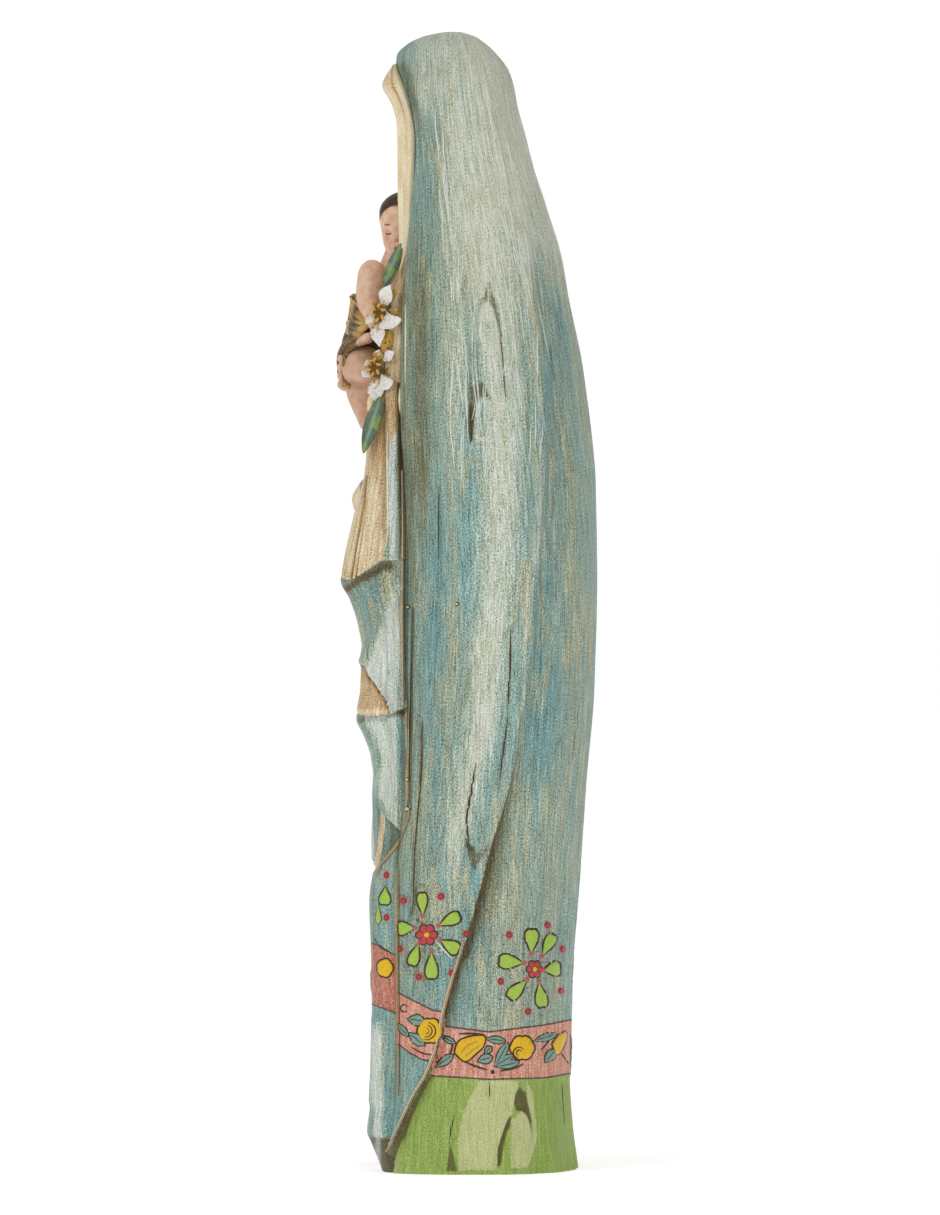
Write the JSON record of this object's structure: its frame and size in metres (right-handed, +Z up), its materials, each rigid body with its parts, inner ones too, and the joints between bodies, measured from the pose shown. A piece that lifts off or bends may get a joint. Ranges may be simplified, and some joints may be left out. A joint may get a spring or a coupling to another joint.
{
  "type": "religious statue",
  "caption": "Standing mother and child in a long mantle, cast in resin and painted like carved wood, for a shelf or niche.",
  "frame": {"origin": "middle of the flat underside the statue stands on", "axes": "+Z up, -Y the way the figure faces, +X its own left side"},
  "size_m": [0.1062, 0.087, 0.3801],
  "materials": {
    "painted_resin": "matt paint dragged over carved grain, in weathered blue with cream, green, pink and gold"
  },
  "bodies": {
    "root": {"statue": "painted_resin"}
  },
  "joints": []
}
